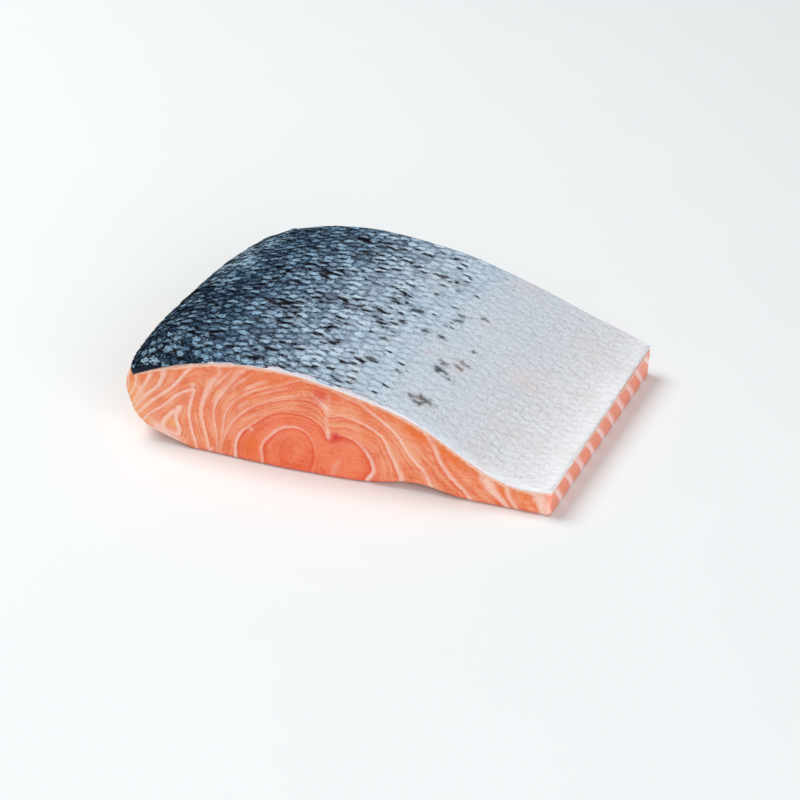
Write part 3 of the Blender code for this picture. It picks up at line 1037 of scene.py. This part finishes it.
skin_sheet = make_skin_sheet()
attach(skin_sheet, "root")
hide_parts("skin")
print("skin sheet:", len(skin_sheet.data.polygons), "faces")

# %% [markdown]
# ## Pigment
# Dark pigment cells lie in the skin and on the scales. They cover the back nearly all over, break up
# into ragged patches on the flank, end in a few freckles, and leave the belly silver-white. One node
# group works out the colour from the distance to the back edge, for the sheet and the scales alike.

# %% Node group: pigment
SKIN_COLOURS = (          # distance from the back edge, how high the patchy noise must be for a black
    # patch there, and the darkest, the most common and the brightest colour between the patches
    (0, 0.54, (14, 20, 29), (40, 56, 74), (132, 160, 182)),
    (15, 0.55, (19, 27, 38), (38, 56, 75), (120, 152, 178)),
    (30, 0.55, (23, 33, 46), (52, 75, 98), (110, 150, 184)),
    (42, 0.545, (36, 48, 63), (80, 106, 131), (136, 176, 209)),
    (52, 0.54, (52, 65, 83), (121, 148, 173), (163, 196, 223)),
    (62, 0.54, (72, 89, 108), (140, 164, 186), (189, 214, 234)),
    (72, 0.56, (110, 128, 147), (173, 194, 213), (204, 224, 240)),
    (82, 0.585, (135, 152, 170), (179, 200, 217), (207, 227, 241)),
    (95, 0.64, (152, 166, 182), (187, 204, 219), (211, 228, 240)),
    (110, 0.83, (178, 186, 198), (202, 211, 221), (217, 227, 237)),
    (125, 1.0, (187, 190, 200), (209, 214, 222), (222, 228, 236)),
    (140, 1.0, (193, 192, 200), (215, 217, 223), (230, 233, 238)),
    (155, 1.0, (207, 207, 213), (229, 230, 235), (241, 243, 246)),
    (165, 1.0, (216, 216, 221), (237, 238, 242), (249, 250, 252)),
)
PIGMENT_BLACK = paint(16, 19, 25)
PIGMENT_BROWN = paint(34, 30, 33)
PIGMENT_NAVY = paint(34, 45, 60)
PIGMENT_GREY = paint(88, 86, 95)


def make_pigment():
    """Make the group that gives the skin's colours at a place on it, and where pigment gathers."""
    group, (place,) = new_group("fish pigment", Place="Vector")
    across, along, _ = place.parts()
    drift = along * -0.1 + (place.noise(24.0).spread(-9.0, 9.0) + 4.6)
    share = (across + drift) * (1.0 / SKIN_WIDTH)
    distances, limits, *shades = zip(*SKIN_COLOURS)
    stops = [min(distance / SKIN_WIDTH, 1.0) for distance in distances]
    limit = share.ramp(stops, [(value, value, value, 1.0) for value in limits])
    low, mid, high = (share.ramp(stops, [paint(*colour) for colour in column]) for column in shades)
    small = place.scaled(0.5, 1.0, 1.0).noise(2.4, 3.0, 0.6)
    large = place.scaled(0.6, 1.0, 1.0).noise(9.0)
    return give(
        group, Low=low, Mid=mid, High=high,
        Dark=share.ease(0.2, 0.5).mix(PIGMENT_BLACK, PIGMENT_BROWN),
        Haze=share.ease(0.1, 0.45).mix(PIGMENT_NAVY, PIGMENT_GREY),
        Patch=large * 0.8 + (small - 0.4) - limit, Share=share)


pigment = make_pigment()
print("pigment group:", len(pigment.nodes), "nodes")

# %% The sheet's finishes
def sheet_material():
    """Make the finish of the skin between the scales and beside the tail cut."""
    material, tree, shader = new_material("skin between the scales")
    place = stored(tree, "skin_at")
    look = use(pigment, Place=place)
    across = place.parts()[0]
    mottle = place.noise(1.3, 3.0)
    shade = (mottle * 0.7).mix(look["Low"], look["Mid"])
    strip = across.ease(85.0, 112.0).mix(paint(180, 178, 194), paint(230, 230, 235))
    strip = mottle.mix(strip, paint(240, 237, 241))
    # Painted glints: small white specks on the bare strip stand in for wet highlights.
    strip = place.noise(0.5, 2.0, 0.7).ease(0.62, 0.7).mix(strip, paint(252, 252, 255))
    strip = (across + mottle.spread(-8.0, 8.0)).ease(27.0, 15.0).mix(strip, paint(26, 33, 48))
    film = use(wet_film, Place=place, Height=0.0, Grain=0.05, Swell=0.15)
    finish(shader, {
        "Base Color": stored(tree, "bare", "Fac").mix(shade, strip), "Normal": film["Normal"],
        "Roughness": film["Gloss"].spread(0.25, 0.45), "Specular IOR Level": 0.08,
        "Coat Weight": 0.03, "Coat Roughness": 0.15})
    return material


def edge_material():
    """Make the finish of the skin's cut edge: pale, but dark where the back's skin is cut."""
    material, tree, shader = new_material("cut edge of the skin")
    place = in_millimetres(tree)
    shade = place.noise(0.9, 3.0).mix(paint(226, 219, 225), paint(250, 246, 248))
    shade = stored(tree, "skin_at").parts()[0].ease(20.0, 8.0).mix(shade, paint(40, 44, 58))
    film = use(wet_film, Place=place, Height=0.0, Grain=0.06, Swell=0.1)
    finish(shader, {
        "Base Color": shade, "Normal": film["Normal"], "Roughness": film["Gloss"].spread(0.25, 0.5),
        "Subsurface Weight": 0.2, "Subsurface Scale": 0.8 * MM})
    return material


def finish_sheet():
    """Give the sheet its two finishes: the second one on the four cut edges."""
    skin_sheet.data.materials.append(sheet_material())
    skin_sheet.data.materials.append(edge_material())
    side = 2 * SHEET_ALONG
    slots = np.ones(len(skin_sheet.data.polygons), np.int32)
    slots[side:side + 2 * SHEET_ACROSS * SHEET_ALONG] = 0
    skin_sheet.data.polygons.foreach_set("material_index", slots)


finish_sheet()
print("skin sheet finished")

# %% [markdown]
# ## One scale
# A salmon's scale is a thin rounded plate. Its root sits in the skin towards the head, and its free
# edge points to the tail and rests on the scales behind it. A template is made of rings of points,
# domed a little, with a rim and a closed underside, so that each scale is a real solid plate.

# %% The scale template
SCALE_RINGS = (0.42, 0.74, 0.92, 1.0)
SCALE_SEGMENTS = 16
SCALE_SQUARE = 2.5        # 2 is an ellipse, and more is squarer
UNDERSIDE_SIZE = 0.98


def scale_template():
    """Return (across, towards the free edge) from -1 to 1, which points are below, and the triangles."""
    angle = np.arange(SCALE_SEGMENTS) * 2.0 * np.pi / SCALE_SEGMENTS
    outline = np.column_stack((np.cos(angle), np.sin(angle)))
    outline = np.sign(outline) * np.abs(outline) ** (2.0 / SCALE_SQUARE)
    outline[:, 0] *= 1.0 - 0.18 * np.clip(outline[:, 1], 0.0, 1.0) ** 2
    rings = [outline * size for size in (*SCALE_RINGS, UNDERSIDE_SIZE)]
    points = np.vstack([np.zeros((1, 2)), *rings, np.zeros((1, 2))])
    last = len(points) - 1
    faces = []
    for k in range(SCALE_SEGMENTS):
        after = (k + 1) % SCALE_SEGMENTS
        faces.append((0, 1 + k, 1 + after))
        for inner in range(1, last - SCALE_SEGMENTS, SCALE_SEGMENTS):
            outer = inner + SCALE_SEGMENTS
            faces.append((inner + k, outer + k, outer + after))
            faces.append((inner + k, outer + after, inner + after))
        faces.append((last - SCALE_SEGMENTS + after, last - SCALE_SEGMENTS + k, last))
    return points, np.arange(last + 1) >= last - SCALE_SEGMENTS, np.array(faces)


template, template_below, template_faces = scale_template()
print("a scale has", len(template_faces), "triangles")

# %% [markdown]
# ## Laying the scales
# The scales stand in columns along the fish, every second column shifted by half a scale, like
# shingles. They are smaller on the back. Each is turned, sized and lifted a little differently, the
# ones at the edge of the skin are cut off with it, and towards the belly they lie nearly flat under
# their slime. Loops place every plate over the skin's map, so that it follows the skin's curve.

# %% The scales' places
COLUMN_STEP = ((0, 3.3), (45, 3.8), (80, 4.3), (120, 4.1), (165, 3.6))
ROW_STEP = 3.6
SCALE_WIDE = 0.74         # half a scale's width, as a share of the column step
SCALE_LONG = 3.1          # half its length, in millimetres
SCALE_TILT = 0.15         # how far the free edge stands above the middle
SCALE_DOME = 0.1
SCALE_SUNK = 0.2          # how far a scale's middle lies under the map
SCALE_THICK = 0.1
SCALE_RAGGED = 0.07       # how uneven a scale's outline is, as a share of its radius
SCALE_STRAY = (0.32, 0.3)  # how far a scale strays from its place, across and along the fish
SCALE_TURN = 0.13         # how far it turns in the skin and rolls to a side, in radians
SCALE_ROLL = 0.07
SIZE_SPREAD = 0.08        # how much sizes and tilts differ, as shares
TILT_SPREAD = 0.45


def scale_places():
    """Return each scale's distance from the back, distance from the tail cut, and column step."""
    places = []
    across = 1.2
    column = 0
    while across < SKIN_WIDTH - 0.8:
        step = np.interp(across, *zip(*COLUMN_STEP))
        start = 0.4 + 0.5 * ROW_STEP * (column % 2)
        places += [(across, along, step) for along in np.arange(start, LENGTH - 0.3, ROW_STEP)]
        across += step
        column += 1
    return np.array(places)


places = scale_places()
print(len(places), "scales")

# %% Every plate
FLAT_BELLY = (72.0, 112.0)  # the scales sink into the slime between these distances from the back


def squeezed(offset, centre, low, high):
    """Shrink the side of each scale that would reach past the skin, so that it ends at the edge."""
    past_high = np.maximum(centre + offset.max(axis=1) - high, 0.0) / offset.max(axis=1)
    past_low = np.maximum(low - (centre + offset.min(axis=1)), 0.0) / -offset.min(axis=1)
    return offset * (1.0 - np.where(offset > 0.0, past_high[:, None], past_low[:, None]))


def ragged_radii(draws, count):
    """Return how much longer or shorter each template point's radius is, for every scale."""
    around = np.arctan2(template[:, 1], template[:, 0])
    radii = np.ones((count, len(template)))
    for turns in (2, 3, 5, 7):
        phase = draws.uniform(0.0, 2.0 * np.pi, (count, 1))
        radii += draws.normal(0.0, SCALE_RAGGED / 1.6, (count, 1)) * np.cos(turns * around[None] + phase)
    return radii


def make_scales(name, chosen, seed):
    """Make one piece of all the chosen scales, with what the finish needs stored on its points."""
    draws = np.random.default_rng(seed)
    chosen = chosen[chosen[:, 1] > bare_strip(chosen[:, 0]) - 0.4]
    count = len(chosen)
    middle_across = np.clip(chosen[:, 0] + draws.normal(0.0, SCALE_STRAY[0], count), 0.5, SKIN_WIDTH - 1.5)
    middle_along = np.clip(chosen[:, 1] + draws.normal(0.0, SCALE_STRAY[1], count), 0.3, LENGTH - 0.3)
    turn = draws.normal(0.0, SCALE_TURN, count)[:, None]
    size = draws.normal(1.0, SIZE_SPREAD, count)
    flat = fade((chosen[:, 0] - FLAT_BELLY[0]) / (FLAT_BELLY[1] - FLAT_BELLY[0]))[:, None]
    raised = np.clip(draws.normal(1.0, TILT_SPREAD, count), 0.2, 2.2)[:, None]
    tilt = SCALE_TILT * (1.0 - 0.9 * flat) * raised
    roll = draws.normal(0.0, SCALE_ROLL, count)[:, None] * (1.0 - 0.92 * flat)
    side, free = template.T
    radii = ragged_radii(draws, count)
    wide = (chosen[:, 2] * SCALE_WIDE * size)[:, None] * side * radii
    long = -(SCALE_LONG * size)[:, None] * free * radii
    across = wide * np.cos(turn) - long * np.sin(turn)
    along = wide * np.sin(turn) + long * np.cos(turn)
    border = bare_strip(middle_across) + draws.uniform(-0.5, 0.3, count)
    across = squeezed(across, middle_across, 0.0, belly_border(middle_along)) + middle_across[:, None]
    along = squeezed(along, middle_along, np.minimum(border, middle_along - 0.5), LENGTH)
    along += middle_along[:, None]
    height = SCALE_DOME * (1.0 - side ** 2) * (1.0 - 0.85 * flat) + tilt * free + roll * side - SCALE_SUNK
    height -= SCALE_THICK * template_below * (1.0 - 0.7 * flat)
    across, along, height = across.ravel(), along.ravel(), height.ravel()
    points = on_skin(across, along, height + skin_relief(across, along))
    faces = (template_faces[None] + (np.arange(count) * len(template))[:, None, None]).reshape(-1, 3)
    piece = mesh_object(name, points, faces)
    random = np.repeat(draws.uniform(0.0, 1.0, count), len(template))
    write_attribute(piece, "on_scale", np.column_stack((np.tile(template, (count, 1)), random)))
    write_attribute(piece, "skin_at", spots(across, along))
    write_attribute(piece, "freckle", freckles(across, along))
    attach(piece, "root")
    return piece


# %% Freckles
FRECKLES = (              # distance from the back edge, from the head cut, and size, in millimetres
    (91.5, 20.5, 3), (105.5, 39.5, 3), (112, 35.5, 2.4), (105.5, 43.5, 2.6), (91.5, 48, 3.4),
    (89.5, 57.5, 3), (97.5, 58, 2.6), (103, 57.5, 2.4), (116, 56.5, 2.2), (115, 65, 3),
    (114, 68.5, 2.4), (110, 70.5, 3), (88, 71.5, 3.4), (110, 75, 3.2), (113.5, 77.5, 2.6),
    (87, 85, 3), (97, 86, 2.8), (110, 94, 5), (105.5, 95, 3.4), (108.5, 97, 3),
)
FRECKLE_WAVES = ((1.1, 0.5), (2.3, 0.3))


def freckles(across, along):
    """Return how dark the freckles make each place on the skin."""
    ragged = uneven(spots(across, along), FRECKLE_WAVES, 51)
    total = np.zeros(len(across))
    for middle, from_head, size in FRECKLES:
        offset = np.hypot((across - middle) / 1.25, (along - (LENGTH - from_head)) * 1.3)
        total = np.maximum(total, fade(1.3 - 1.75 * offset / size + 1.3 * ragged))
    return total * 0.9


back = places[:, 0] < 0.5 * SKIN_WIDTH
back_scales = make_scales("salmon_back_scales", places[back], 7)
belly_scales = make_scales("salmon_belly_scales", places[~back], 8)
print("scale faces:", len(back_scales.data.polygons), "and", len(belly_scales.data.polygons))

# %% [markdown]
# ## The scales' finish
# Seen close up, a scale is silver-blue in its middle and clear at its free edge, with pigment lying
# along its rim and root. The finish also paints light on it: a highlight in the bright middle and shade
# along the raised free edge, and a highlight on the ridge and a sheen on the back. The material reads
# where on its scale each point is, so that every plate has this pattern, and mixes in the patches of
# pigment that run over many scales.

# %% Scale material
# The bright middle is the scale's silver and, in part, a painted highlight.
SPOT_WIDE = 0.84          # half width and half length of a scale's bright middle, as shares
SPOT_LONG = 0.56


def scale_material():
    """Make the finish of the scales."""
    material, tree, shader = new_material("salmon scales")
    place = stored(tree, "skin_at")
    across, along, _ = place.parts()
    side, free, random = stored(tree, "on_scale").parts()
    look = use(pigment, Place=place)
    silver = look["Share"].ease(0.44, 0.66)
    part = (random * 29.0).fraction()
    streak = place.scaled(0.5, 1.0, 1.0).noise(0.55, 3.0, 0.75)

    side = (side - (random * 7.0).fraction().spread(-0.3, 0.3)) * (1.0 / SPOT_WIDE)
    rise = (free - (random * 13.0).fraction().spread(0.2, 0.6)) * (1.0 / SPOT_LONG)
    off = (side * side + rise * rise).maths("SQRT")
    off = off + place.noise(1.4, 2.0, 0.6).spread(-1.2, 1.2) + streak.spread(-0.7, 0.7)
    cell = off.ease(1.3, 0.3)
    # The band along each scale's raised free edge: on the back it chooses where black goes, partly pigment
    # and partly painted shade, and on the silver belly it darkens the mottle as painted shade.
    free_edge_pigment_and_shade = free.ease(0.4, 0.75) * abs(side).ease(0.95, 0.5)
    # How bright the scale shows: its spot is its silver colour and in part a painted highlight, broken up
    # by streaks. On the silver belly a soft mottle takes over.
    glow = cell * part.spread(0.35, 1.1) + streak.spread(-1.4, 1.4)
    mottle = place.noise(1.0) * 1.5 + cell * 0.3 - free_edge_pigment_and_shade * 0.16 - 0.38
    glow = silver.spread(glow, mottle).spread(0.0, 1.0)

    # Painted light on the back: a highlight along the ridge and a sheen towards the head cut. The scales
    # are also paler near the tail cut on the belly half and along the belly edge.
    ridge = abs(across - RIDGE[0]).ease(1.6, 0.2) * along.ease(38.0, 62.0)
    sheen = across.ease(34.0, 20.0) * along.ease(46.0, 72.0)
    paler_skin_ends = (along.ease(6.0, 1.0) * across.ease(95.0, 125.0)).larger(across.ease(152.0, 163.0))
    glow = glow + ridge * 0.3 + sheen * 0.26 + paler_skin_ends * 0.28
    hue = place.noise(1.1, 2.0, 0.6).ease(0.42, 0.62) * 0.22
    high = silver.mix(hue.mix(look["High"], paint(182, 186, 178)), look["High"])
    colour = glow.ease(0.45, 0.95).mix(glow.ease(0.0, 0.5).mix(look["Low"], look["Mid"]), high)
    glint = (streak + part * 0.12 + sheen * 0.06).ease(0.64, 0.71) * silver.ease(1.0, 0.0)
    colour = (glint * 0.7).mix(colour, paint(182, 212, 226))

    haze = look["Patch"].ease(-0.04, 0.08) * streak.spread(0.1, 0.9)
    colour = haze.mix(colour, look["Haze"])
    chosen = look["Patch"] + part * 0.24 + streak.spread(-0.1, 0.1) - 0.12
    thick = (look["Patch"] + off * 0.07).ease(0.14, 0.19)
    # Black marks: dashes at the free edges (pigment and painted shade), thick pigment patches and freckles.
    dark = (chosen.ease(-0.02, 0.03) * free_edge_pigment_and_shade).larger(thick).larger(stored(tree, "freckle", "Fac"))
    colour = (dark * streak.spread(0.6, 1.35)).mix(colour, look["Dark"])
    warm = place.noise(16.0, 3.0).ease(0.5, 0.75) * 0.35 * silver
    colour = warm.mix(colour, paint(222, 204, 202))

    rings = (off * 40.0).maths("SINE") * 0.004
    film = use(wet_film, Place=place, Height=rings, Grain=0.03, Swell=0.06)
    finish(shader, {
        "Base Color": colour, "Normal": film["Normal"], "Roughness": film["Gloss"].spread(0.22, 0.42),
        "Specular IOR Level": 0.0, "Coat Weight": glow.ease(0.6, 1.0) * 0.15, "Coat IOR": 1.3,
        "Coat Roughness": 0.12})
    return material


scales = scale_material()
for piece in (back_scales, belly_scales):
    piece.data.materials.append(scales)
print("scales finished")
